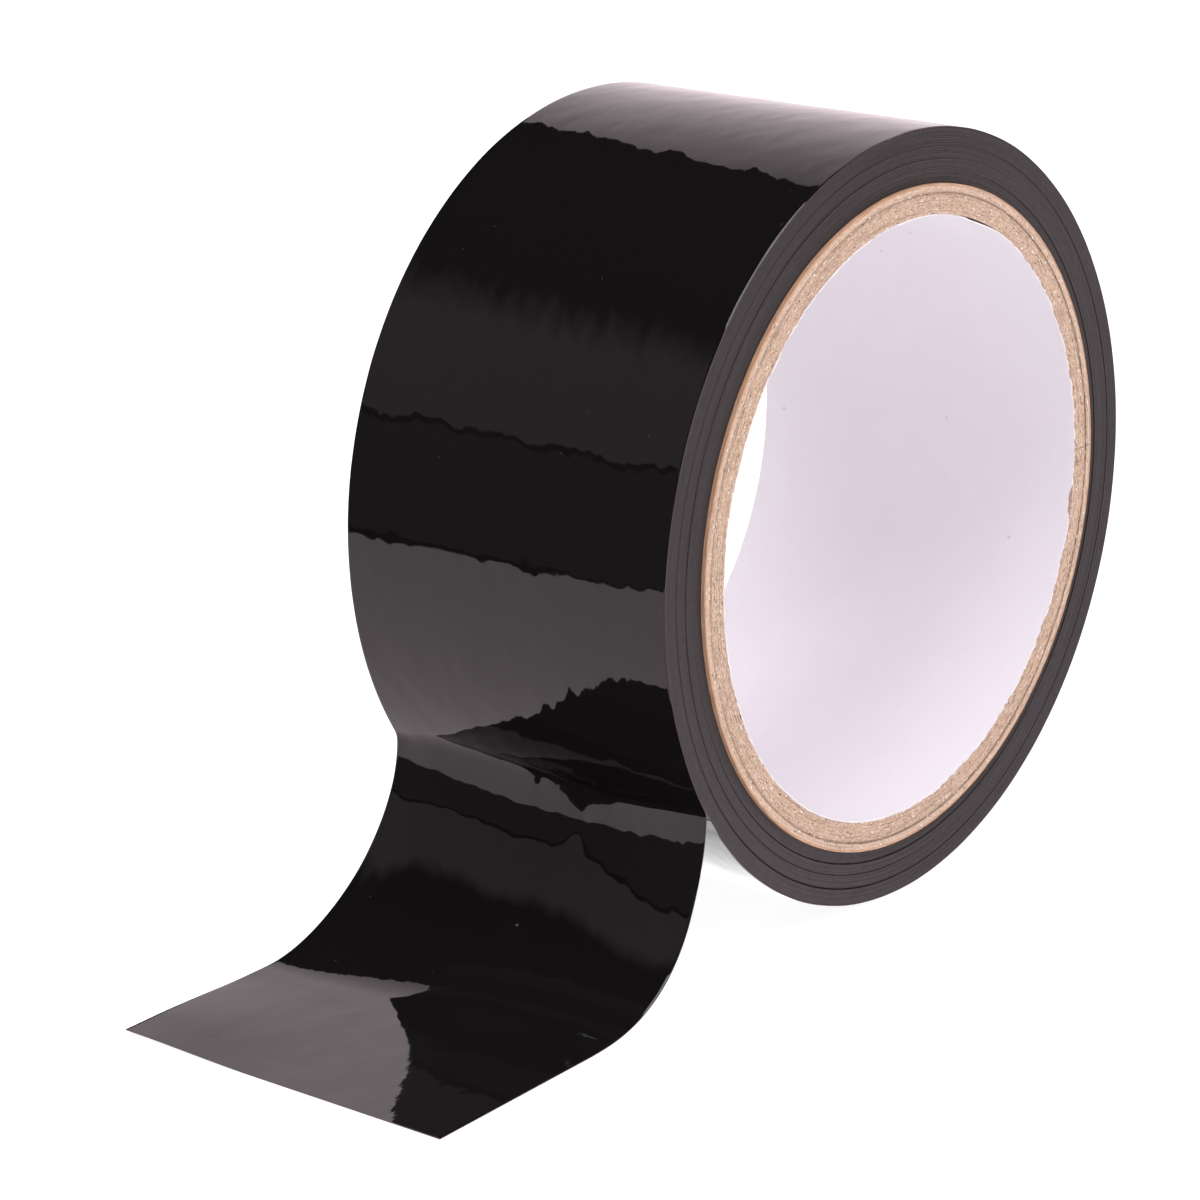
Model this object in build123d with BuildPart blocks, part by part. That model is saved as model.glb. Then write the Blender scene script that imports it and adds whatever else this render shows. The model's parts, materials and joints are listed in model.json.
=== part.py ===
from build123d import *
import os
from math import acos, asin, cos, degrees, radians, sin

# Roll of glossy black tape on a paper core. The free end of the tape is drawn off and lies on the floor.
#
# Frame: the origin is on the axis of the core bore, halfway across the tape. +Y runs along the axis,
# +Z is up, and the free end of the tape leaves the roll towards -X. The roll and the free end stand on
# one floor, at z = -roll_radius. Every piece is as wide as the tape or the core, so each is a profile in
# the XZ plane, extruded both ways along Y.

# ---- Driving dimensions, in millimetres and degrees ----

# Core: a spirally wound paper tube.
bore_radius = 38.1
liner_thickness = 0.15
board_ply_thickness = 0.42
board_ply_count = 8
outer_ply_thickness = 0.24
glue_line = 0.02
core_overhang = 0.5
core_edge_break = 0.06

# Tape: film with an adhesive coat on its inner side.
tape_width = 49.0
film_thickness = 0.15
adhesive_thickness = 0.05

# Turns of tape in each band, from the core outwards, and how far each band stands off centre along Y.
band_turns = (8, 7, 9, 10)
band_shifts = (0.05, -0.06, 0.04, -0.03)
band_edge_break = 0.06

# The last full turn runs on the wound bands, and the free end is hinged to it at the peel line.
turn_clearance = 0.05
crease_gap = 0.02
lap_clearance = 0.05

# Free end: it leaves the roll at the peel line, bends outwards, sweeps down to the floor and lies flat.
peel_angle = 30.0
peel_bend_radius = 6.0
peel_bend_turn = 40.0
flat_length = 25.5

# ---- Sizes that follow from them ----

tape_thickness = film_thickness + adhesive_thickness
core_length = tape_width + 2 * core_overhang
liner_outer_radius = bore_radius + liner_thickness
board_pitch = board_ply_thickness + glue_line
outer_ply_inner_radius = liner_outer_radius + glue_line + board_ply_count * board_pitch
core_radius = outer_ply_inner_radius + outer_ply_thickness
wound_radius = core_radius + sum(band_turns) * tape_thickness
turn_inner_radius = wound_radius + turn_clearance
film_inner_radius = turn_inner_radius + adhesive_thickness
roll_radius = film_inner_radius + film_thickness

# Headings of the free end, turning clockwise from the tangent at the peel line to level along -X.
peel_heading = peel_angle - 90.0
sweep_heading = peel_heading - peel_bend_turn
floor_heading = -180.0


def gloss_side(heading):
    """Unit vector at right angles to tape that runs along this heading, towards its glossy side."""
    return Vector(sin(radians(heading)), -cos(radians(heading)))


# The peel line is on the glossy face of the last turn, and the first bend is centred outside the roll.
peel_point = gloss_side(peel_heading) * roll_radius
bend_centre = gloss_side(peel_heading) * (roll_radius + peel_bend_radius)

# The sweep joins the bend without a kink, and its radius brings the adhesive side level with the floor.
sweep_cosine = cos(radians(sweep_heading))
sweep_fall = bend_centre.Y + peel_bend_radius * sweep_cosine + roll_radius - tape_thickness
sweep_radius = sweep_fall / (1 + sweep_cosine)
sweep_centre = bend_centre + gloss_side(sweep_heading) * (sweep_radius - peel_bend_radius)

# The last turn starts again where the free end has lifted clear over it.
lap_radius = roll_radius + lap_clearance
adhesive_bend_radius = peel_bend_radius + tape_thickness
bend_distance = roll_radius + peel_bend_radius
lap_cosine = (bend_distance**2 + adhesive_bend_radius**2 - lap_radius**2) / (
    2 * bend_distance * adhesive_bend_radius
)
lap_angle = degrees(asin(adhesive_bend_radius * sin(acos(lap_cosine)) / lap_radius))
crease_angle = degrees(crease_gap / roll_radius)


def save(piece, name):
    """Label a finished piece and write it as its own STEP file."""
    piece.part.label = name
    export_step(piece.part, f"parts/{name}.step")


def bend_point(heading, depth):
    """Point on the first bend, this far below the glossy face."""
    return bend_centre - gloss_side(heading) * (peel_bend_radius + depth)


def sweep_point(heading, depth):
    """Point on the sweep down to the floor, this far below the glossy face."""
    return sweep_centre - gloss_side(heading) * (sweep_radius + depth)


def tail_edge(depth):
    """One face of the free end from the peel line to its cut end, this far below the glossy face."""
    mid_bend = (peel_heading + sweep_heading) / 2
    mid_sweep = (sweep_heading + floor_heading) / 2
    landing = sweep_point(floor_heading, depth)
    bend_start, bend_end = bend_point(peel_heading, depth), bend_point(sweep_heading, depth)
    ThreePointArc(bend_start, bend_point(mid_bend, depth), bend_end)
    ThreePointArc(sweep_point(sweep_heading, depth), sweep_point(mid_sweep, depth), landing)
    Line(landing, landing - Vector(flat_length, 0))


def tail_profile(top_depth, bottom_depth):
    """Closed outline of one layer of the free end, between two depths below the glossy face."""
    with BuildLine() as outline:
        tail_edge(top_depth)
        tail_edge(bottom_depth)
        Line(bend_point(peel_heading, top_depth), bend_point(peel_heading, bottom_depth))
        Line(
            sweep_point(floor_heading, top_depth) - Vector(flat_length, 0),
            sweep_point(floor_heading, bottom_depth) - Vector(flat_length, 0),
        )
    make_face(outline.edges())


def turn_profile(inner_radius, outer_radius):
    """Open ring of one layer of the last turn, from just below the peel line round to the peel line."""
    first = 180.0 + peel_angle + lap_angle
    span = 360.0 - lap_angle - crease_angle
    with BuildLine() as outline:
        inner = CenterArc((0, 0), inner_radius, first, span)
        outer = CenterArc((0, 0), outer_radius, first, span)
        Line(inner @ 0, outer @ 0)
        Line(inner @ 1, outer @ 1)
    make_face(outline.edges())


def ring_profile(inner_radius, outer_radius):
    """Plain ring."""
    Circle(outer_radius)
    Circle(inner_radius, mode=Mode.SUBTRACT)


os.makedirs("parts", exist_ok=True)

# ---- Core ----

with BuildPart() as core_liner:
    with BuildSketch(Plane.XZ):
        ring_profile(bore_radius, liner_outer_radius)
    extrude(amount=core_length / 2, both=True)
save(core_liner, "core_liner")

for ply in range(board_ply_count):
    ply_inner_radius = liner_outer_radius + glue_line + ply * board_pitch
    with BuildPart() as core_board_ply:
        with BuildSketch(Plane.XZ):
            ring_profile(ply_inner_radius, ply_inner_radius + board_ply_thickness)
        extrude(amount=core_length / 2, both=True)
    save(core_board_ply, f"core_board_ply_{ply + 1}")

# The outer ply's outside edges are rubbed down a little where the core is cut to length.
with BuildPart() as core_outer_ply:
    with BuildSketch(Plane.XZ):
        ring_profile(outer_ply_inner_radius, core_radius)
    extrude(amount=core_length / 2, both=True)
    rims = core_outer_ply.edges().filter_by(GeomType.CIRCLE)
    outer_rims = rims.filter_by(lambda edge: edge.radius > outer_ply_inner_radius + glue_line)
    chamfer(outer_rims, core_edge_break)
save(core_outer_ply, "core_outer_ply")

# ---- Wound tape, in bands divided where the winding has stepped sideways ----

band_inner_radius = core_radius
for band, turns in enumerate(band_turns):
    band_outer_radius = band_inner_radius + turns * tape_thickness
    with BuildPart() as wound_band:
        with BuildSketch(Plane.XZ.offset(-band_shifts[band])):
            ring_profile(band_inner_radius, band_outer_radius)
        extrude(amount=tape_width / 2, both=True)
        chamfer(wound_band.edges().filter_by(GeomType.CIRCLE), band_edge_break)
    save(wound_band, f"wound_band_{band + 1}")
    band_inner_radius = band_outer_radius

# ---- Last full turn, which stays with the free end while the roll turns inside it ----

with BuildPart() as last_turn_adhesive:
    with BuildSketch(Plane.XZ):
        turn_profile(turn_inner_radius, film_inner_radius)
    extrude(amount=tape_width / 2, both=True)
save(last_turn_adhesive, "last_turn_adhesive")

with BuildPart() as last_turn_film:
    with BuildSketch(Plane.XZ):
        turn_profile(film_inner_radius, roll_radius)
    extrude(amount=tape_width / 2, both=True)
save(last_turn_film, "last_turn_film")

# ---- Free end ----

with BuildPart() as tail_film:
    with BuildSketch(Plane.XZ):
        tail_profile(0, film_thickness)
    extrude(amount=tape_width / 2, both=True)
save(tail_film, "tail_film")

with BuildPart() as tail_adhesive:
    with BuildSketch(Plane.XZ):
        tail_profile(film_thickness, tape_thickness)
    extrude(amount=tape_width / 2, both=True)
save(tail_adhesive, "tail_adhesive")

# ---- Figures that the draft record repeats ----

peel_bend_length = radians(peel_bend_turn) * peel_bend_radius
sweep_length = radians(sweep_heading - floor_heading) * sweep_radius
tail_length = peel_bend_length + sweep_length + flat_length
print(f"roll radius {roll_radius:.3f}, core radius {core_radius:.3f}, core length {core_length:.3f}")
print(f"peel line x {peel_point.X:.4f}, z {peel_point.Y:.4f}, sweep radius {sweep_radius:.3f}")
print(f"landing x {sweep_centre.X:.3f}, cut end x {sweep_centre.X - flat_length:.3f}")
print(f"lap angle {lap_angle:.3f}")
print(f"free length {tail_length:.2f}")
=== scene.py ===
import json
import math

import bpy
import numpy as np
from mathutils import Matrix, Vector


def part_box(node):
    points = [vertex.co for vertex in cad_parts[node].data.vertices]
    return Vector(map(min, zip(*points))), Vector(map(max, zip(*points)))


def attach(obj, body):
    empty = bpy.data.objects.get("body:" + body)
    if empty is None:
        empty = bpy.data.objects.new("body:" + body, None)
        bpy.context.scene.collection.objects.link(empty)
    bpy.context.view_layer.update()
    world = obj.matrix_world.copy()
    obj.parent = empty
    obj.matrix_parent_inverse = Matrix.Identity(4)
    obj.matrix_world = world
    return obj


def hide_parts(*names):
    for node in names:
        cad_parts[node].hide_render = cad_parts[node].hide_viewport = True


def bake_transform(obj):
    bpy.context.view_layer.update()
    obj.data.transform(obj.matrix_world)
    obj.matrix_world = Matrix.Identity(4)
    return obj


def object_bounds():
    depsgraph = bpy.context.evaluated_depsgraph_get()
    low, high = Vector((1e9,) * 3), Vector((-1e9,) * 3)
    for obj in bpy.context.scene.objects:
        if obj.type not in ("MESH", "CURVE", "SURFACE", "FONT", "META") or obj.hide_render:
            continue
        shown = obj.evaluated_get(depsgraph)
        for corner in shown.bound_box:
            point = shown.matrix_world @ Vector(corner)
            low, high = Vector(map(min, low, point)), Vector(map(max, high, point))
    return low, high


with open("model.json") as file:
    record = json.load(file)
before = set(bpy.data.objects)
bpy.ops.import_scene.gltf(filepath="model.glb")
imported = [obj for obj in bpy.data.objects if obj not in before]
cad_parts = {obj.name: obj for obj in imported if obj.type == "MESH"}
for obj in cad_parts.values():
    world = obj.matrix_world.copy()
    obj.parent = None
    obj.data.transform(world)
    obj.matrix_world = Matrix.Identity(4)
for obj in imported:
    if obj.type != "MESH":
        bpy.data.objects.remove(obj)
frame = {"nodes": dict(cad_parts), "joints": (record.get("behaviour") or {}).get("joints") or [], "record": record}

# Lengths are in metres, and angles in degrees except theta in radians. The roll's axis is the Y axis.
# Places round the roll are angles in the XZ plane, from +X towards +Z.
MM = 0.001
cad_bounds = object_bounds()

# ---------------------------------------------------------------- sizes, from the frame

record = frame["record"]
tail_joint = next(j for j in frame["joints"] if j["name"] == "tail_lift")
peel_line = Vector(tail_joint["pos_m"])
PEEL_ANGLE = math.degrees(math.atan2(peel_line.z, peel_line.x)) % 360

ROLL_RADIUS = peel_line.length
FILM = ROLL_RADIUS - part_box("last_turn_adhesive")[1].x
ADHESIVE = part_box("tail_film")[0].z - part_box("tail_adhesive")[0].z
TAPE = FILM + ADHESIVE
HALF_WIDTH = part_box("tail_film")[1].y
FLOOR = cad_bounds[0].z
TAIL_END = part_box("tail_film")[0].x
CORE_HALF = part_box("core_liner")[1].y
BORE = record["mounts"][0]["dims"]["r_mm"] * MM
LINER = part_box("core_liner")[1].x - BORE

BOARD_PLIES = sorted(n for n in frame["nodes"] if n.startswith("core_board_ply_"))
BANDS = sorted(n for n in frame["nodes"] if n.startswith("wound_band_"))
# The two outermost board plies are finer, and a dark seam parts them from the rest.
FINE_PLIES_FROM = len(BOARD_PLIES) - 2
SEAM_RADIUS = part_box(BOARD_PLIES[FINE_PLIES_FROM - 1])[1].x
SEAM_GAP = 0.03 * MM


# ---------------------------------------------------------------- smooth noise for shapes

NOISE_SIZE = 512


def lattice_noise(u, v, seed, period_u=NOISE_SIZE):
    """Smooth noise from -1 to 1, one feature a unit. It repeats along u after period_u whole units."""
    rng = np.random.default_rng(seed)
    grid = rng.uniform(-1, 1, (NOISE_SIZE, NOISE_SIZE))
    iu, iv = np.floor(u).astype(int), np.floor(v).astype(int)
    fu, fv = u - iu, v - iv
    su, sv = fu * fu * (3 - 2 * fu), fv * fv * (3 - 2 * fv)

    def at(a, b):
        return grid[(a % period_u) % NOISE_SIZE, b % NOISE_SIZE]

    low = at(iu, iv) * (1 - su) + at(iu + 1, iv) * su
    high = at(iu, iv + 1) * (1 - su) + at(iu + 1, iv + 1) * su
    return low * (1 - sv) + high * sv


def ease(x, start, end):
    """0 before start, 1 after end and smooth between them."""
    t = np.clip((x - start) / (end - start), 0, 1)
    return t * t * (3 - 2 * t)


def angle_gap(theta, degrees_at):
    """Signed difference in degrees between theta and a place round the roll."""
    return (np.degrees(theta) - degrees_at + 180) % 360 - 180


# ---------------------------------------------------------------- meshes from grids

def new_piece(name, vertices, faces, materials, uv, material_of=None):
    """Makes a mesh object. uv is each vertex's place on the surface, material_of each face's material."""
    mesh = bpy.data.meshes.new(name)
    mesh.from_pydata([tuple(v) for v in vertices], [], [tuple(int(i) for i in f) for f in faces])
    for material in materials:
        mesh.materials.append(material)
    if material_of is not None:
        mesh.polygons.foreach_set("material_index", np.asarray(material_of, np.int32))
    mesh.polygons.foreach_set("use_smooth", np.full(len(faces), True))
    layer = mesh.uv_layers.new(name="surface")
    loops = np.empty(len(mesh.loops), np.int32)
    mesh.loops.foreach_get("vertex_index", loops)
    layer.data.foreach_set("uv", np.asarray(uv, np.float32)[loops].ravel())
    mesh.validate()
    mesh.update()
    piece = bpy.data.objects.new(name, mesh)
    bpy.context.scene.collection.objects.link(piece)
    return piece


def tube_faces(rows, columns, closed_rows, closed_columns):
    """Quads of a grid of rows by columns, numbered row by row."""
    r = np.arange(rows if closed_rows else rows - 1)
    c = np.arange(columns if closed_columns else columns - 1)
    r, c = np.meshgrid(r, c, indexing="ij")
    r2, c2 = (r + 1) % rows, (c + 1) % columns
    quads = np.stack([r * columns + c, r * columns + c2, r2 * columns + c2, r2 * columns + c], -1)
    return quads.reshape(-1, 4)


# ---------------------------------------------------------------- shader helpers

class Shader:
    """A material's node tree, with short calls for the nodes that these materials use."""

    def __init__(self, name):
        self.material = bpy.data.materials.new(name)
        self.material.use_nodes = True
        self.tree = self.material.node_tree
        self.bsdf = self.tree.nodes["Principled BSDF"]

    def node(self, kind, inputs=None, **settings):
        made = self.tree.nodes.new(kind)
        for key, value in settings.items():
            setattr(made, key, value)
        for key, value in (inputs or {}).items():
            if hasattr(value, "links"):
                self.tree.links.new(value, made.inputs[key])
            else:
                made.inputs[key].default_value = value
        return made

    def set(self, **values):
        """Sets the surface shader's own sockets; an output is linked instead."""
        for key, value in values.items():
            socket = self.bsdf.inputs[key.replace("_", " ")]
            if hasattr(value, "links"):
                self.tree.links.new(value, socket)
            else:
                socket.default_value = value

    def surface_place(self):
        """The place on the surface in metres, as the mesh's texture map gives it."""
        return self.node("ShaderNodeUVMap", uv_map="surface").outputs["UV"]

    def stretched(self, vector, scale):
        return self.node("ShaderNodeMapping", {"Vector": vector, "Scale": scale}).outputs["Vector"]

    def noise(self, vector, scale, detail=2.0, roughness=0.5):
        inputs = {"Vector": vector, "Scale": scale, "Detail": detail, "Roughness": roughness}
        return self.node("ShaderNodeTexNoise", inputs).outputs["Fac"]

    def ramp(self, value, stops):
        """Colour ramp; each stop is (position, colour)."""
        made = self.node("ShaderNodeValToRGB", {"Fac": value})
        elements = made.color_ramp.elements
        while len(elements) < len(stops):
            elements.new(0.5)
        for element, (position, colour) in zip(elements, stops):
            element.position = position
            element.color = (*colour, 1)
        return made.outputs["Color"]

    def span(self, value, low, high, out_low=0.0, out_high=1.0):
        """Takes low to out_low and high to out_high, and holds at both ends."""
        inputs = {"Value": value, "From Min": low, "From Max": high}
        inputs.update({"To Min": out_low, "To Max": out_high})
        return self.node("ShaderNodeMapRange", inputs, clamp=True).outputs["Result"]

    def mix(self, factor, first, second):
        made = self.node("ShaderNodeMix", data_type="RGBA")
        for index, value in ((0, factor), (6, first), (7, second)):
            socket = made.inputs[index]
            if hasattr(value, "links"):
                self.tree.links.new(value, socket)
            else:
                socket.default_value = value if index == 0 else (*value, 1)
        return made.outputs[2]

    def maths(self, operation, first, second=0.0):
        made = self.node("ShaderNodeMath", operation=operation)
        for index, value in enumerate((first, second)):
            if hasattr(value, "links"):
                self.tree.links.new(value, made.inputs[index])
            else:
                made.inputs[index].default_value = value
        return made.outputs["Value"]

    def bump(self, height, distance):
        inputs = {"Height": height, "Distance": distance, "Strength": 1.0}
        return self.node("ShaderNodeBump", inputs).outputs["Normal"]


# ---------------------------------------------------------------- materials

def glossy_film():
    """Calendered black PVC: mirror gloss over faint ripples, with a few specks of dust."""
    s = Shader("tape_film_gloss")
    place = s.surface_place()
    ripple = s.noise(s.stretched(place, (420, 900, 1)), 1.0, detail=2.0, roughness=0.5)
    dust = s.noise(place, 1500, detail=0.0)
    haze = s.noise(place, 60, detail=3.0, roughness=0.6)
    specks = s.span(dust, 0.885, 0.90)
    s.set(
        Base_Color=s.mix(specks, (0.0052, 0.0044, 0.0047), (0.022, 0.022, 0.022)),
        Roughness=s.span(haze, 0.35, 0.75, 0.022, 0.060),
        IOR=1.52,
        Normal=s.bump(ripple, 0.006 * MM),
    )
    return s.material


def adhesive_coat():
    """Rubber adhesive over the black film: satin, slightly brown, with coating lines along the tape."""
    s = Shader("tape_adhesive_coat")
    place = s.surface_place()
    lines = s.noise(s.stretched(place, (40, 2200, 1)), 1.0, detail=2.0)
    cloud = s.noise(place, 120, detail=4.0, roughness=0.6)
    s.set(
        Base_Color=s.mix(cloud, (0.016, 0.013, 0.012), (0.030, 0.024, 0.020)),
        Roughness=s.span(cloud, 0.3, 0.7, 0.28, 0.45),
        IOR=1.48,
        Normal=s.bump(s.maths("ADD", lines, cloud), 0.02 * MM),
    )
    return s.material


def cut_edge():
    """Slit edge of the tape: dark film with a thread of brown adhesive."""
    s = Shader("tape_cut_edge")
    place = s.surface_place()
    fray = s.noise(s.stretched(place, (1500, 6000, 1)), 1.0, detail=3.0)
    s.set(
        Base_Color=s.mix(fray, (0.045, 0.028, 0.022), (0.14, 0.085, 0.062)),
        Roughness=s.span(fray, 0.3, 0.7, 0.35, 0.6),
        Normal=s.bump(fray, 0.02 * MM),
    )
    return s.material


def wound_edges():
    """Slit edges of the wound turns: satin dark grey, with fine lines along the winding and scuffs."""
    s = Shader("wound_tape_edges")
    place = s.surface_place()
    turns = s.noise(s.stretched(place, (28, 7000, 1)), 1.0, detail=3.0, roughness=0.65)
    streaks = s.noise(s.stretched(place, (60, 1900, 1)), 1.0, detail=2.0)
    cloud = s.noise(place, 90, detail=4.0, roughness=0.6)
    scuff = s.noise(place, 900, detail=3.0, roughness=0.7)
    tone = s.mix(turns, (0.0155, 0.0114, 0.0124), (0.0300, 0.0232, 0.0250))
    tone = s.mix(s.span(streaks, 0.35, 0.7, 0.0, 0.35), tone, (0.037, 0.030, 0.032))
    tone = s.mix(s.span(cloud, 0.45, 0.75, 0.0, 0.35), tone, (0.024, 0.020, 0.021))
    s.set(
        Base_Color=tone,
        Roughness=s.span(scuff, 0.3, 0.7, 0.42, 0.58),
        IOR=1.5,
        Normal=s.bump(s.maths("ADD", turns, s.maths("MULTIPLY", scuff, 0.4)), 0.03 * MM),
    )
    return s.material


def board_material(name, coarse):
    """Cut recycled board: tan, with fibres along the ply, flecks and a brown seam. coarse is 0 to 1."""
    s = Shader(name)
    place = s.surface_place()
    fibre = s.noise(s.stretched(place, (1500, 3300, 1)), 1.0, detail=4.0, roughness=0.75)
    grain = s.noise(place, 3400, detail=3.0, roughness=0.75)
    layer = s.noise(s.stretched(place, (70, 2600, 1)), 1.0, detail=2.0, roughness=0.6)
    cloud = s.noise(s.stretched(place, (160, 500, 1)), 1.0, detail=3.0)
    pale = s.noise(s.stretched(place, (1300, 3000, 1)), 1.0, detail=1.0)
    dark = s.noise(s.stretched(place, (1100, 2900, 5)), 1.0, detail=1.0)
    tone = s.ramp(
        fibre,
        [(0.30, (0.30, 0.185, 0.130)), (0.5, (0.60, 0.415, 0.310)), (0.72, (0.80, 0.615, 0.505))],
    )
    tone = s.mix(s.span(cloud, 0.35, 0.7, 0.0, 0.40), tone, (0.66, 0.475, 0.37))
    tone = s.mix(0.45 * (1 - coarse), tone, (0.70, 0.505, 0.405))
    tone = s.mix(s.span(layer, 0.30, 0.45, 0.30 + 0.25 * coarse, 0.0), tone, (0.24, 0.15, 0.105))
    tone = s.mix(s.span(grain, 0.33, 0.48, 0.25 + 0.50 * coarse, 0.0), tone, (0.16, 0.095, 0.066))
    body = s.node("ShaderNodeTexCoord").outputs["Object"]
    flat = s.node("ShaderNodeVectorMath", {0: body, 1: (1.0, 0.0, 1.0)}, operation="MULTIPLY")
    length = s.node("ShaderNodeVectorMath", {0: flat.outputs["Vector"]}, operation="LENGTH")
    drift = s.span(layer, 0.3, 0.7, -0.12 * MM, 0.12 * MM)
    drifted = s.maths("ADD", length.outputs["Value"], drift)
    off_seam = s.maths("ABSOLUTE", s.maths("SUBTRACT", drifted, SEAM_RADIUS))
    tone = s.mix(s.span(off_seam, 0.05 * MM, 0.30 * MM, 0.66, 0.0), tone, (0.235, 0.145, 0.10))
    tone = s.mix(s.span(pale, 0.66, 0.73, 0.0, 0.85), tone, (0.95, 0.89, 0.86))
    tone = s.mix(s.span(dark, 0.67, 0.73, 0.0, 0.88), tone, (0.055, 0.040, 0.037))
    s.set(
        Base_Color=tone,
        Roughness=s.span(fibre, 0.3, 0.7, 0.80, 0.95),
        Specular_IOR_Level=0.25,
        Normal=s.bump(s.maths("ADD", fibre, grain), 0.16 * MM),
    )
    return s.material


def kraft_material():
    """Outer ply: smoother orange-brown kraft paper, with faint fibres."""
    s = Shader("core_kraft_paper")
    place = s.surface_place()
    fibre = s.noise(s.stretched(place, (500, 3000, 1)), 1.0, detail=4.0, roughness=0.65)
    cloud = s.noise(place, 160, detail=3.0)
    tone = s.ramp(
        fibre,
        [(0.25, (0.34, 0.172, 0.097)), (0.55, (0.50, 0.295, 0.192)), (0.8, (0.63, 0.435, 0.325))],
    )
    s.set(
        Base_Color=s.mix(s.span(cloud, 0.4, 0.7, 0.0, 0.3), tone, (0.42, 0.24, 0.15)),
        Roughness=s.span(fibre, 0.3, 0.7, 0.70, 0.88),
        Specular_IOR_Level=0.3,
        Normal=s.bump(fibre, 0.05 * MM),
    )
    return s.material


def liner_material():
    """White lining paper: nearly plain, with a faint cloudy formation and a few specks."""
    s = Shader("liner_white_paper")
    place = s.surface_place()
    cloud = s.noise(place, 220, detail=5.0, roughness=0.65)
    broad = s.noise(place, 28, detail=2.0)
    tooth = s.noise(place, 5200, detail=2.0)
    speck = s.noise(place, 520, detail=0.0)
    tone = s.mix(cloud, (0.715, 0.670, 0.718), (0.772, 0.726, 0.772))
    tone = s.mix(s.span(broad, 0.35, 0.7, 0.0, 0.5), tone, (0.730, 0.682, 0.730))
    tone = s.mix(s.span(speck, 0.855, 0.875, 0.0, 0.5), tone, (0.42, 0.38, 0.40))
    s.set(
        Base_Color=tone,
        Roughness=s.span(cloud, 0.3, 0.7, 0.62, 0.78),
        Specular_IOR_Level=0.3,
        Normal=s.bump(s.maths("ADD", cloud, s.maths("MULTIPLY", tooth, 0.3)), 0.03 * MM),
    )
    return s.material


FILM_GLOSS = glossy_film()
ADHESIVE_COAT = adhesive_coat()
CUT_EDGE = cut_edge()
WOUND_EDGES = wound_edges()
BOARD = board_material("core_board_cut", 1.0)
BOARD_FINE = board_material("core_board_fine", 0.45)
KRAFT = kraft_material()
PAPER = liner_material()


# ---------------------------------------------------------------- the tape strip: last turn and free end

# Where the film leaves the roll, past the peel line, at places across it from 0 near to 1 far.
PEEL_FRONT = {0.0: 1.1 * MM, 0.3: 2.6 * MM, 0.58: 0.4 * MM, 0.85: 0.1 * MM, 1.0: 1.4 * MM}
# Over how long a stretch the film then turns to hang nearly upright.
SHARP_BEND = {0.0: 1.0 * MM, 0.3: 1.0 * MM, 0.58: 2.0 * MM, 0.85: 2.4 * MM, 1.0: 1.5 * MM}
# Dents below the peel front, where the adhesive held on longer. Each is (place across, distance past the
# peel line, half width, half length, depth).
DENTS = (
    (0.400, 7.2 * MM, 2.1 * MM, 3.0 * MM, 0.32 * MM),
    (0.520, 3.6 * MM, 1.3 * MM, 1.7 * MM, 0.10 * MM),
    (0.300, 4.4 * MM, 2.2 * MM, 1.6 * MM, 0.05 * MM),
)

# How far the film faces up, in degrees, at three places across it: straight after the sharp bend, and
# then at each of these distances past the peel line. It is 0 where it hangs upright and 90 where it lies.
STATIONS = np.array([5, 10, 15, 20, 25, 30, 35]) * MM
FREE_END = {
    0.0: (4, (10, 20, 26, 41, 58, 74, 86)),
    0.4: (-1, (3, 21, 31, 43, 57, 70, 82)),
    1.0: (2, (11, 28, 39, 50, 59, 68, 79)),
}

# The last turn starts this far round from the peel line, and thickens from a feather edge over these.
TURN_START = 3.6
FEATHER_START, FEATHER_END = 5.6, 8.6
# Ripples of the film. Each is (height in mm, length along the tape, length across it, seed).
RIPPLES = (
    (0.022, 10 * MM, 7.5 * MM, 11),
    (0.024, 5.0 * MM, 3.4 * MM, 12),
    (0.016, 2.6 * MM, 1.6 * MM, 13),
    (0.0045, 1.3 * MM, 0.85 * MM, 14),
)
# The highest ripple's height in mm, which is taken off so that the ripples only thin the film.
RIPPLE_TOP = 0.060
CORNER_LIFT = 0.45 * MM

CORNER = 0.05 * MM
TURN_STEPS = 720
WIDTH_STEPS = 150
PATH_STEP = 0.02 * MM


def between(table, w):
    """The table's value at this place across the tape, eased between the places either side."""
    places = sorted(table)
    low = max(p for p in places[:-1] if p <= w + 1e-9)
    high = places[places.index(low) + 1]
    share = float(ease(w, low, high))
    return table[low] * (1 - share) + table[high] * share


def column_path(w, distances):
    """Points and normals of the free end's glossy side, in XZ, at these distances past the peel line."""
    delay, bend = between(PEEL_FRONT, w), between(SHARP_BEND, w)
    facings = {place: np.array([first, *later]) for place, (first, later) in FREE_END.items()}
    facing_up = between(facings, w)
    on_roll = PEEL_ANGLE - 180 + math.degrees(delay / ROLL_RADIUS)
    fine = np.arange(0, distances[-1], PATH_STEP)
    # The stations are stretched until the film comes down exactly on the floor.
    low, high = 0.7, 1.4
    for _ in range(40):
        stretch = (low + high) / 2
        stations = STATIONS * stretch
        lengths = np.concatenate([[0, delay, delay + bend], stations, [stations[-1] + 4 * MM]])
        facing = np.concatenate([[180 - PEEL_ANGLE, -on_roll], facing_up, [90]])
        phi = np.radians(np.interp(fine, lengths, facing))
        drop = np.cumsum(np.cos(phi)) * PATH_STEP
        if peel_line.z - drop[-1] > FLOOR + TAPE:
            low = stretch
        else:
            high = stretch
    x = peel_line.x - np.cumsum(np.sin(phi)) * PATH_STEP
    z = peel_line.z - drop
    x, z, phi = (np.interp(distances, fine, values) for values in (x, z, phi))
    return np.stack([x, z], -1), np.stack([-np.cos(phi), np.sin(phi)], -1)


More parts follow.
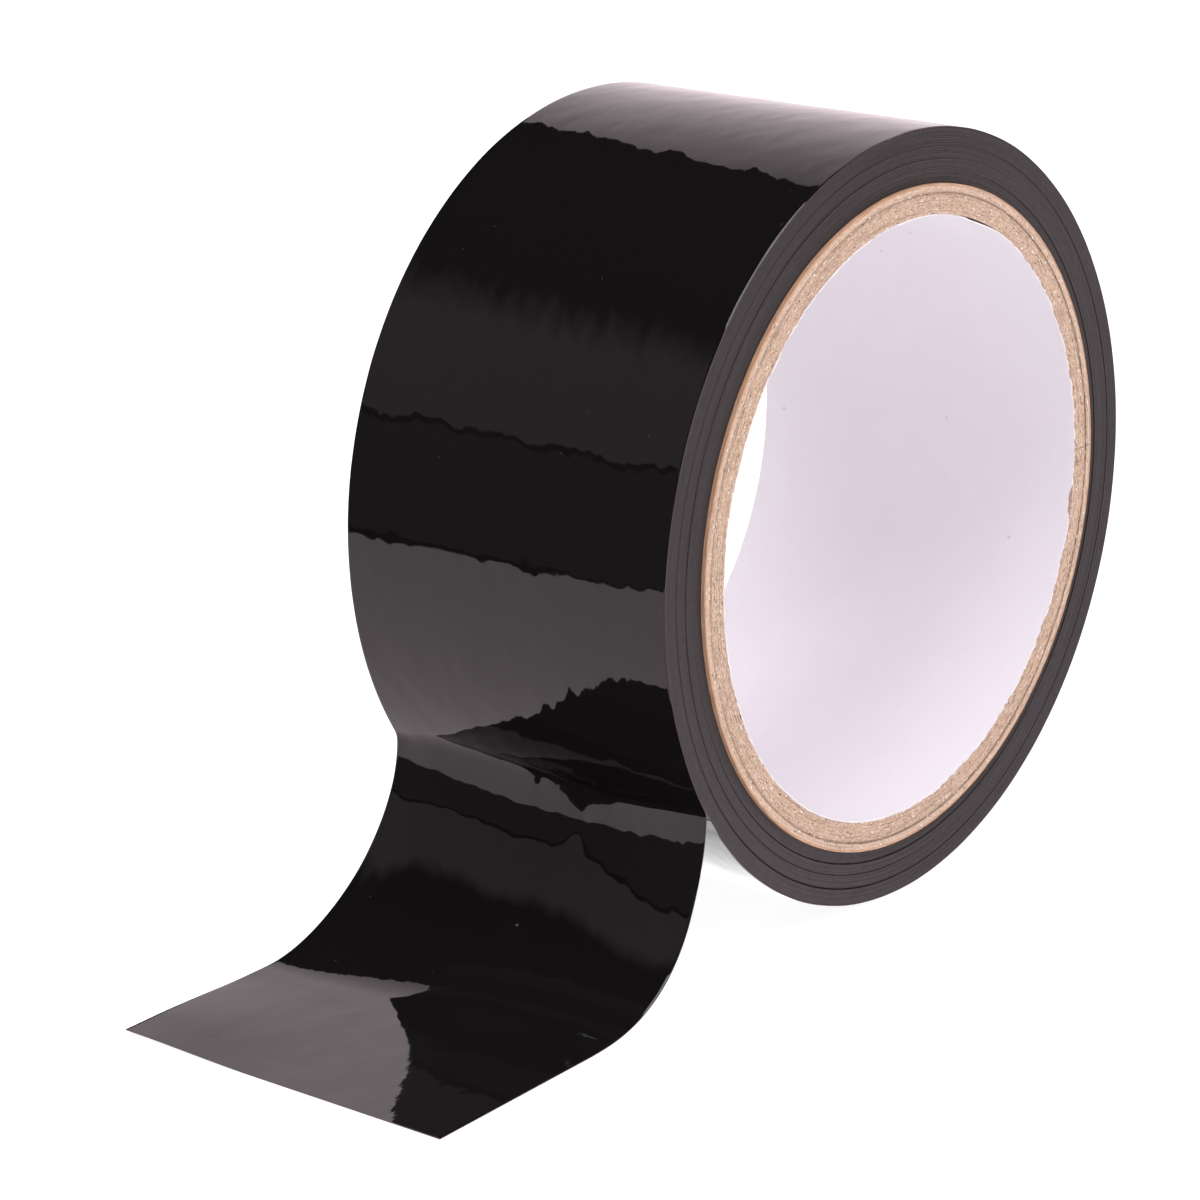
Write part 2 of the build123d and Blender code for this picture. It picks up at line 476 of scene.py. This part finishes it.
def strip_surface():
    """Glossy-side points and normals, thickness and distance along the tape, row by row along it."""
    angles = np.linspace(PEEL_ANGLE + TURN_START, PEEL_ANGLE + 360, TURN_STEPS, endpoint=False)
    rise = ease(angles, PEEL_ANGLE + FEATHER_START, PEEL_ANGLE + FEATHER_END)
    radius = ROLL_RADIUS - TAPE * (1 - rise) * 0.97
    a = np.radians(angles)
    turn = np.stack([np.cos(a), np.sin(a)], -1)
    w = np.linspace(0, 1, WIDTH_STEPS)
    turn_points = np.repeat((turn * radius[:, None])[:, None], WIDTH_STEPS, 1)
    turn_normals = np.repeat(turn[:, None], WIDTH_STEPS, 1)

    close, far_off = np.arange(0, 8 * MM, 0.09 * MM), np.arange(8 * MM, 90 * MM, 0.38 * MM)
    distances = np.concatenate([close, far_off])
    free = [column_path(share, distances) for share in w]
    points = np.stack([f[0] for f in free], 1)
    normals = np.stack([f[1] for f in free], 1)
    # The part on the floor is squeezed or spread a little so that the cut end is straight.
    kept = int(np.searchsorted(-points[:, WIDTH_STEPS // 2, 0], -TAIL_END)) + 1
    points, normals, distances = points[:kept], normals[:kept], distances[:kept]
    flat = ease(-points[..., 0], 0.066, -TAIL_END)
    points[..., 0] += flat * (TAIL_END - points[-1, :, 0])

    thickness = np.concatenate([TAPE * (0.03 + 0.97 * rise), np.full(kept, TAPE)])
    along = np.concatenate([(a - math.radians(PEEL_ANGLE + 360)) * ROLL_RADIUS, distances])
    points = np.concatenate([turn_points, points])
    normals = np.concatenate([turn_normals, normals])
    return points, normals, thickness, along


def make_strip():
    """The last turn and the free end as one closed sheet: glossy side, adhesive side and slit edges."""
    xz, normal, thickness, along = strip_surface()
    count = len(xz)
    y = np.linspace(-HALF_WIDTH, HALF_WIDTH, WIDTH_STEPS)
    y[0] += CORNER
    y[-1] -= CORNER
    s_grid = along[:, None] + 0 * y[None]
    y_grid = y[None] + 0 * s_grid

    # The far corner of the free end lifts a little off the floor.
    lift = CORNER_LIFT * ease(y_grid, 4 * MM, HALF_WIDTH) * ease(-xz[..., 0], 0.070, 0.086)
    xz[..., 1] += lift
    ripple = 0
    for height, along_tape, across_tape, seed in RIPPLES:
        ripple = ripple + height * lattice_noise(s_grid / along_tape, y_grid / across_tape, seed)
    for place, centre, half_width, half_length, depth in DENTS:
        across = (y_grid + HALF_WIDTH - 2 * HALF_WIDTH * place) / half_width
        past = (s_grid - centre) / half_length
        dent = depth * np.exp(-1.4 * (across**2 + past**2))
        xz = xz - normal * dent[..., None]
    full = ease(thickness, 0.5 * TAPE, TAPE)[:, None]
    on_floor = ease(-xz[..., 0], 0.050, 0.062)
    ripple = (ripple * (1 - 0.60 * on_floor) - RIPPLE_TOP) * MM * full
    inner = xz - normal * thickness[:, None, None]
    xz = xz + normal * ripple[..., None]

    outer = np.stack([xz[..., 0], y_grid, xz[..., 1]], -1)
    inner = np.stack([inner[..., 0], y_grid, inner[..., 1]], -1)
    inner[:, 0, 1], inner[:, -1, 1] = -HALF_WIDTH, HALF_WIDTH

    def edge_column(share):
        """The slit edges' points at this share of the way from the glossy to the adhesive side."""
        cut = outer * (1 - share) + inner * share
        cut[:, 0, 1], cut[:, -1, 1] = -HALF_WIDTH, HALF_WIDTH
        return cut

    corner, seam = edge_column(CORNER / TAPE), edge_column(FILM / TAPE)

    # One closed section round the tape at each step: glossy side, far slit edge, adhesive side, near one.
    section = [outer, corner[:, -1:], seam[:, -1:], inner[:, ::-1], seam[:, :1], corner[:, :1]]
    section = np.concatenate(section, axis=1)
    columns = section.shape[1]
    vertices = section.reshape(-1, 3)
    faces = tube_faces(count, columns, False, True)
    column = np.tile(np.arange(columns), count - 1)
    w = WIDTH_STEPS
    material_of = np.where((column < w) | (column == columns - 1), 0, 1)
    material_of = np.where(np.isin(column, (w, w + 1, 2 * w + 1, 2 * w + 2)), 2, material_of)
    far_edge, near_edge = [y[-1] + CORNER, y[-1] + FILM], [y[0] - FILM, y[0] - CORNER]
    uv_across = np.concatenate([y, far_edge, y[::-1], near_edge])
    uv = np.stack([np.repeat(along, columns), np.tile(uv_across, count)], -1)

    # Both ends are closed by strips of quads between the glossy and the adhesive side.
    caps = []
    for row in (0, count - 1):
        base = row * columns
        top = base + np.arange(WIDTH_STEPS)
        bottom = base + 2 * WIDTH_STEPS + 1 - np.arange(WIDTH_STEPS)
        for k in range(WIDTH_STEPS - 1):
            quad = [top[k], top[k + 1], bottom[k + 1], bottom[k]]
            caps.append(quad[::-1] if row == 0 else quad)
        right = [top[-1], base + WIDTH_STEPS, base + WIDTH_STEPS + 1, bottom[-1]]
        left = [base + columns - 2, base + columns - 1, top[0], bottom[0]]
        caps += [right[::-1], left[::-1]] if row == 0 else [right, left]
    all_faces = [tuple(f) for f in faces[:, ::-1]] + [tuple(f) for f in caps]
    all_materials = list(material_of) + [2] * len(caps)
    coats = [FILM_GLOSS, ADHESIVE_COAT, CUT_EDGE]
    strip = new_piece("tape_strip", vertices, all_faces, coats, uv, all_materials)
    mark_sharp_edges(strip, 60)
    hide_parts("last_turn_film", "last_turn_adhesive", "tail_film", "tail_adhesive")
    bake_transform(strip)


def mark_sharp_edges(piece, angle):
    """Keeps edges sharper than this many degrees hard under smooth shading."""
    mesh = piece.data
    with bpy.context.temp_override(object=piece, active_object=piece, selected_objects=[piece]):
        mesh.set_sharp_from_angle(angle=math.radians(angle))


# ---------------------------------------------------------------- wound turns

BAND_AROUND = 900
# Steps in the winding from one band to the next: (where it is plainest, how far round it shows, depth).
WINDING_STEPS = {
    1: (250.0, 85.0, 0.14 * MM),
    2: (215.0, 85.0, 0.11 * MM),
    3: (190.0, 110.0, 0.22 * MM),
}
NO_STEP = (0.0, 1.0, 0.02 * MM)
# Width of the chamfer on the turns either side of a step, and on every other turn.
STEP_CHAMFER, TURN_CHAMFER = 0.10 * MM, 0.05 * MM
# How far the turns stand back from the strip's slit edges, and how deep the grooves between them are.
TURN_SETBACK, TURN_GROOVE = 0.03 * MM, 0.022 * MM


def winding_step(boundary, theta):
    """Depth of the groove at this boundary of a band, all round the roll. It fades away on one side."""
    place, reach, depth = WINDING_STEPS.get(boundary, NO_STEP)
    around = theta / (2 * math.pi)
    shown = 1 - ease(np.abs(angle_gap(theta, place)), 0.55 * reach, reach)
    uneven = 1 + 0.35 * lattice_noise(around * 23, 0 * around, 70 + boundary, 23)
    return (0.008 * MM + depth * shown) * uneven


def make_band(node, index):
    """One band of wound turns: a ring whose two side faces show every turn as a fine ridge."""
    low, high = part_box(node)
    outer = high.x
    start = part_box(BANDS[index - 1])[1].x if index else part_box("core_outer_ply")[1].x
    turns = round((outer - start) / TAPE)
    shift = (low.y + high.y) / 2
    theta = np.linspace(0, 2 * math.pi, BAND_AROUND, endpoint=False)
    around = theta / (2 * math.pi)
    rng = np.random.default_rng(40 + index)
    radii, side_y = [], []
    for turn in range(turns):
        r0 = start + turn * TAPE
        jitter = rng.uniform(-0.016, 0.016) * MM
        wander = 0.012 * MM * lattice_noise(around * 9, np.full_like(around, turn * 0.35), 60 + index, 9)
        top = HALF_WIDTH - TURN_SETBACK + jitter + wander
        groove = top - TURN_GROOVE
        first, last = turn == 0, turn == turns - 1
        edge_groove = top - winding_step(index + last, theta)
        rise = STEP_CHAMFER if first and index else TURN_CHAMFER
        fall = STEP_CHAMFER if last else TURN_CHAMFER
        radii += [r0 + 0.02 * MM, r0 + rise, r0 + TAPE - fall, r0 + TAPE - 0.01 * MM]
        side_y += [edge_groove if first else groove, top, top, edge_groove if last else groove]
    radii[0], radii[-1] = start + 0.008 * MM, outer - 0.008 * MM
    radii = np.array(radii)
    profile = np.array(side_y)

    def ring(sign, order):
        """One side face's points, at these radii in turn."""
        ys = sign * profile[order] + shift
        rr = radii[order]
        return np.stack([rr[:, None] * np.cos(theta), ys, rr[:, None] * np.sin(theta)], -1)

    n = len(radii)
    front = ring(-1, np.arange(n))
    back = ring(1, np.arange(n)[::-1])
    section = np.concatenate([front, back], 0).transpose(1, 0, 2)
    columns = 2 * n
    vertices = section.reshape(-1, 3)
    faces = tube_faces(BAND_AROUND, columns, True, True)
    across = np.concatenate([radii, radii[::-1] + 0.02])
    uv = np.stack([np.repeat(theta * 0.046, columns), np.tile(across, BAND_AROUND)], -1)
    band = new_piece(f"{node}_turns", vertices, faces, [WOUND_EDGES], uv)
    mark_sharp_edges(band, 50)
    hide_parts(node)
    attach(band, "roll")


# ---------------------------------------------------------------- core

CORE_AROUND = 1080
# Where the liner has come away from the board, how far round it reaches, and by how much.
TORN_AT = 66.0
TORN_SPAN = 8.5
TORN_GAP = 0.32 * MM
# Where a nick is missing from the liner's edge, and its depth.
NICK_AT = 350.0
NICK_DEPTH = 0.4 * MM
# The fibres of the cut ends: how many there are round the core, and their size across the wall.
FIBRES_AROUND = 540
FIBRE_SIZE = 0.16 * MM
PLY_GAP = 0.012 * MM


def rough_ring(name, start, outer, material, radial_steps, roughness, seed, walls=2, shape=None):
    """Ring along the roll's axis with rough cut ends. shape(section, theta) may move its points."""
    theta = np.linspace(0, 2 * math.pi, CORE_AROUND, endpoint=False)
    around = theta / (2 * math.pi)
    radii = np.linspace(start, outer, radial_steps)
    t = np.repeat(around[None], radial_steps, 0) * FIBRES_AROUND
    r = radii[:, None] / FIBRE_SIZE + 0 * t
    pieces = []
    for sign in (-1, 1):
        rough = roughness * lattice_noise(t, r, seed + sign, FIBRES_AROUND)
        rough += 0.6 * roughness * lattice_noise(t / 6, r / 3, seed + 10 + sign, FIBRES_AROUND // 6)
        y = sign * (CORE_HALF + rough - 1.7 * roughness)
        pieces.append(np.stack([radii[:, None] * np.cos(theta), y, radii[:, None] * np.sin(theta)], -1))
    # Between the ends, a few rings along the wall keep its faces short where it shows.
    lengths = np.linspace(-1, 1, walls + 2)[1:-1]

    def wall(radius, order):
        rows = []
        for share in order:
            y = np.full_like(theta, share * CORE_HALF * 0.99)
            rows.append(np.stack([radius * np.cos(theta), y, radius * np.sin(theta)], -1))
        return np.array(rows)

    front, back = pieces
    section = np.concatenate([front, wall(outer, lengths), back[::-1], wall(start, lengths[::-1])], 0)
    if shape is not None:
        section = shape(section, theta)
    section[..., 1] = np.clip(section[..., 1], -CORE_HALF, CORE_HALF)
    columns = section.shape[0]
    vertices = section.transpose(1, 0, 2).reshape(-1, 3)
    faces = tube_faces(CORE_AROUND, columns, True, True)
    step = np.linalg.norm(np.diff(section[:, 0], axis=0), axis=-1)
    across = np.concatenate([[0], np.cumsum(step)]) + seed * 0.013
    uv = np.stack([np.repeat(theta * start, columns), np.tile(across, CORE_AROUND)], -1)
    made = new_piece(name, vertices, faces, [material], uv)
    mark_sharp_edges(made, 55)
    return made


def torn_liner(section, theta):
    """The liner's ends are slightly ragged, and near TORN_AT one end has come away from the board."""
    y = section[..., 1]
    r = np.hypot(section[..., 0], section[..., 2])
    near_end = ease(-y, CORE_HALF - 1.8 * MM, CORE_HALF - 0.1 * MM)
    around = theta / (2 * math.pi)
    ragged = 0.10 * MM * lattice_noise(around * 420, 0 * around, 301, 420)
    ragged += 0.10 * MM * lattice_noise(around * 90, 0 * around, 302, 90)
    y = y + near_end * (ragged[None] + 0.12 * MM)
    gap = angle_gap(theta, TORN_AT)
    lifted = ease(gap, -TORN_SPAN, -2.0) * (1 - ease(gap, 2.5, TORN_SPAN))
    tatter = 0.75 + 0.35 * lattice_noise(around * 150, 0 * around, 303, 150)
    r = r - near_end * (lifted * tatter)[None] * TORN_GAP
    gap = angle_gap(theta, NICK_AT)
    nick = ease(gap, -3.4, -2.4) * (1 - ease(gap, 0.6, 3.0))
    y = y + ease(-section[..., 1], CORE_HALF - 1.8 * MM, CORE_HALF - 0.2 * MM) * nick[None] * NICK_DEPTH
    return np.stack([r * np.cos(theta), y, r * np.sin(theta)], -1)


def make_core():
    """Every ply of the core, from the white liner outwards."""
    start = BORE + LINER
    liner = rough_ring("core_liner_paper", BORE, start, PAPER, 4, 0.02 * MM, 200, 12, torn_liner)
    plies = [(liner, "core_liner", "liner_paper")]
    for index, node in enumerate(BOARD_PLIES):
        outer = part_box(node)[1].x
        fine = index >= FINE_PLIES_FROM
        gap = SEAM_GAP if index == FINE_PLIES_FROM else PLY_GAP
        rough = 0.035 * MM if fine else 0.075 * MM
        board = BOARD_FINE if fine else BOARD
        ply = rough_ring(f"{node}_board", start + gap, outer, board, 5, rough, 210 + index)
        plies.append((ply, node, "core_board"))
        start = outer
    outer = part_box("core_outer_ply")[1].x
    kraft = rough_ring("core_outer_ply_kraft", start + PLY_GAP, outer, KRAFT, 4, 0.03 * MM, 240)
    plies.append((kraft, "core_outer_ply", "core_kraft"))
    for ply, node, slot in plies:
        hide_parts(node)
        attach(ply, "roll")


# ---------------------------------------------------------------- camera

CAMERA_AZIMUTH = -51.19
CAMERA_ELEVATION = 18.39
CAMERA_ROLL = 1.19
CAMERA_DISTANCE = 0.5441
CAMERA_LENS = 128.0
AIM = Vector((-0.0154, 0.0121, -0.0132))


def direction(azimuth, elevation):
    """Unit vector from the roll at this azimuth and elevation; azimuth 0 is towards -Y."""
    a, e = math.radians(azimuth), math.radians(elevation)
    return Vector((math.sin(a) * math.cos(e), -math.cos(a) * math.cos(e), math.sin(e)))


def make_camera():
    data = bpy.data.cameras.new("camera")
    data.lens = CAMERA_LENS
    data.sensor_width = 36.0
    camera = bpy.data.objects.new("camera", data)
    bpy.context.scene.collection.objects.link(camera)
    back = direction(CAMERA_AZIMUTH, CAMERA_ELEVATION)
    level = back.to_track_quat("Z", "Y").to_matrix().to_4x4()
    rolled = Matrix.Rotation(math.radians(-CAMERA_ROLL), 4, "Z")
    camera.matrix_world = Matrix.Translation(AIM + back * CAMERA_DISTANCE) @ level @ rolled
    bpy.context.scene.camera = camera


# ---------------------------------------------------------------- floor, cards and lights

def glow_material(name, colour, strength, top=None, fade=0.0):
    """A plain glowing material; with top, it fades to black over the last part below that height."""
    s = Shader(name)
    s.tree.nodes.remove(s.bsdf)
    power = strength
    if top is not None:
        height = s.node("ShaderNodeTexCoord").outputs["Object"]
        z = s.node("ShaderNodeSeparateXYZ", {"Vector": height}).outputs["Z"]
        power = s.maths("MULTIPLY", s.span(z, top - fade, top, 1.0, 0.0), strength)
    glow = s.node("ShaderNodeEmission", {"Color": (*colour, 1), "Strength": power})
    s.tree.links.new(glow.outputs[0], s.tree.nodes["Material Output"].inputs[0])
    return s.material


def paper_glow_with_painted_light_pool(colour):
    """The lit paper as the film reflects it: warm white, with a painted pool of light close to the foot of the
    roll.
    """
    s = Shader("floor_paper_with_painted_light_pool")
    s.tree.nodes.remove(s.bsdf)
    place = s.node("ShaderNodeTexCoord").outputs["Object"]
    foot = s.node("ShaderNodeVectorMath", {0: place, 1: (-0.012, 0.0, FLOOR)}, operation="DISTANCE")
    y = s.node("ShaderNodeSeparateXYZ", {"Vector": place}).outputs["Y"]
    # Painted pool of light: near masks the paper round the foot of the roll, where it glows pure white and up to
    # 2.6 strong instead of 1.1.
    close = s.span(foot.outputs["Value"], 0.034, 0.050, 1.0, 0.0)
    near = s.maths("MULTIPLY", close, s.span(y, -0.020, -0.016))
    glow = s.node("ShaderNodeEmission", {"Color": s.mix(near, colour, (1.0, 1.0, 1.0))})
    s.tree.links.new(s.span(near, 0.0, 1.0, 1.10, 2.6), glow.inputs["Strength"])
    s.tree.links.new(glow.outputs[0], s.tree.nodes["Material Output"].inputs[0])
    return s.material


def stage_card(name, vertices, faces, material):
    """A sheet that only reflections see: a bounce card or backdrop outside the picture."""
    mesh = bpy.data.meshes.new(name)
    mesh.from_pydata(vertices, [], faces)
    mesh.materials.append(material)
    sheet = bpy.data.objects.new(name, mesh)
    bpy.context.scene.collection.objects.link(sheet)
    sheet.visible_camera = False
    sheet.visible_diffuse = False
    sheet.visible_shadow = False
    return sheet


def round_wall(name, radius, azimuths, elevations, colour, strength, fade=0.0):
    """Part of an upright round wall about the roll, between two azimuths and two elevations from it."""
    steps = 24
    low, high = (radius * math.tan(math.radians(e)) for e in elevations)
    vertices = []
    for k in range(steps + 1):
        across = direction(azimuths[0] + (azimuths[1] - azimuths[0]) * k / steps, 0) * radius
        vertices += [(across.x, across.y, low), (across.x, across.y, high)]
    faces = [(2 * k, 2 * k + 2, 2 * k + 3, 2 * k + 1) for k in range(steps)]
    material = glow_material(name, colour, strength, high if fade else None, fade)
    return stage_card(name, vertices, faces, material)


def floor_sheet(name, corners, height, colour):
    """A flat sheet of pale paper at this height, through these corners."""
    mesh = bpy.data.meshes.new(name)
    mesh.from_pydata([(x, y, height) for x, y in corners], [], [tuple(range(len(corners)))])
    sheet = bpy.data.objects.new(name, mesh)
    bpy.context.scene.collection.objects.link(sheet)
    s = Shader(name)
    place = s.node("ShaderNodeTexCoord").outputs["Object"]
    cloud = s.noise(place, 6.0, detail=3.0)
    tone = s.mix(cloud, colour, tuple(0.985 * c for c in colour))
    s.set(Base_Color=tone, Roughness=0.9, Specular_IOR_Level=0.1)
    s.set(Emission_Color=(1.0, 1.0, 1.0, 1), Emission_Strength=0.90)
    mesh.materials.append(s.material)
    return sheet


def area_light(name, azimuth, elevation, distance, width, height, radiance):
    """A soft box at this direction from the roll, facing it, of this radiance."""
    data = bpy.data.lights.new(name, "AREA")
    data.shape = "RECTANGLE"
    data.size, data.size_y = width, height
    data.energy = radiance * math.pi * width * height
    lamp = bpy.data.objects.new(name, data)
    bpy.context.scene.collection.objects.link(lamp)
    outward = direction(azimuth, elevation)
    facing = outward.to_track_quat("Z", "Y").to_matrix().to_4x4()
    lamp.matrix_world = Matrix.Translation(outward * distance) @ facing
    lamp.visible_camera = False


# Colour of the cards that the film reflects, and how far the backdrop stands behind the roll.
WARM = (1.0, 0.86, 0.91)
BACKDROP = 1.13
# Outline of the backdrop as (aside, height). Its left edge leans out near the top.
BACKDROP_OUTLINE = ((-1.05, 0.0), (0.245, 0.0), (0.232, 0.75), (0.31, 1.75), (0.04, 1.50), (-1.05, 1.32))
# Outline of the paper on the floor as (ahead, aside).
PAPER_OUTLINE = ((-1.2, -0.9), (BACKDROP, -0.9), (BACKDROP, 0.25), (-1.2, 0.25))
WIDE_FLOOR = ((-8, -8), (8, -8), (8, 8), (-8, 8))


def make_stage():
    scene = bpy.context.scene
    scene.view_settings.view_transform = "Standard"
    scene.view_settings.look = "None"

    world = bpy.data.worlds.new("studio")
    scene.world = world
    world.use_nodes = True
    world.node_tree.nodes["Background"].inputs["Color"].default_value = (1.0, 0.96, 0.99, 1)
    world.node_tree.nodes["Background"].inputs["Strength"].default_value = 0.72
    world.cycles_visibility.glossy = False

    # The wide floor fills the picture; reflections see only the sheet of paper that the roll stands on.
    wide = floor_sheet("floor_wide", WIDE_FLOOR, FLOOR - 0.10 * MM, (0.30, 0.30, 0.30))
    wide.visible_glossy = False
    view = -direction(CAMERA_AZIMUTH, 0)
    left = Vector((-view.y, view.x, 0))
    corners = []
    for ahead, aside in PAPER_OUTLINE:
        p = view * ahead + left * aside
        corners.append((p.x, p.y, FLOOR - 0.02 * MM))
    # This paper card carries a painted pool of light round the foot of the roll.
    stage_card("floor_paper_with_painted_light_pool", corners, [(0, 1, 2, 3)], paper_glow_with_painted_light_pool(WARM))

    # Backdrop behind the roll, as its reflections see it.
    corners = []
    for aside, height in BACKDROP_OUTLINE:
        p = view * BACKDROP + left * aside
        corners.append((p.x, p.y, FLOOR + height))
    glow = glow_material("backdrop", WARM, 1.30, FLOOR + 2.05, 1.8)
    stage_card("backdrop", corners, [tuple(range(len(corners)))], glow)
    # The dim side of the room to the left, in two parts with a dark join.
    round_wall("dim_wall", 2.0, (190, 262), (16.9, 46), WARM, 0.27, fade=0.45)
    round_wall("dark_wall", 2.0, (190, 262), (-11.5, 15.4), WARM, 0.085)

    area_light("top_box", -100, 80, 1.3, 1.0, 1.0, 4.0)
    area_light("front_box", -8, 36, 1.5, 1.2, 0.9, 2.4)
    area_light("rim_box", 10, 50, 1.5, 0.30, 0.26, 14.0)


# ---------------------------------------------------------------- build

make_camera()
make_stage()
make_strip()
for number, name in enumerate(BANDS):
    make_band(name, number)
make_core()
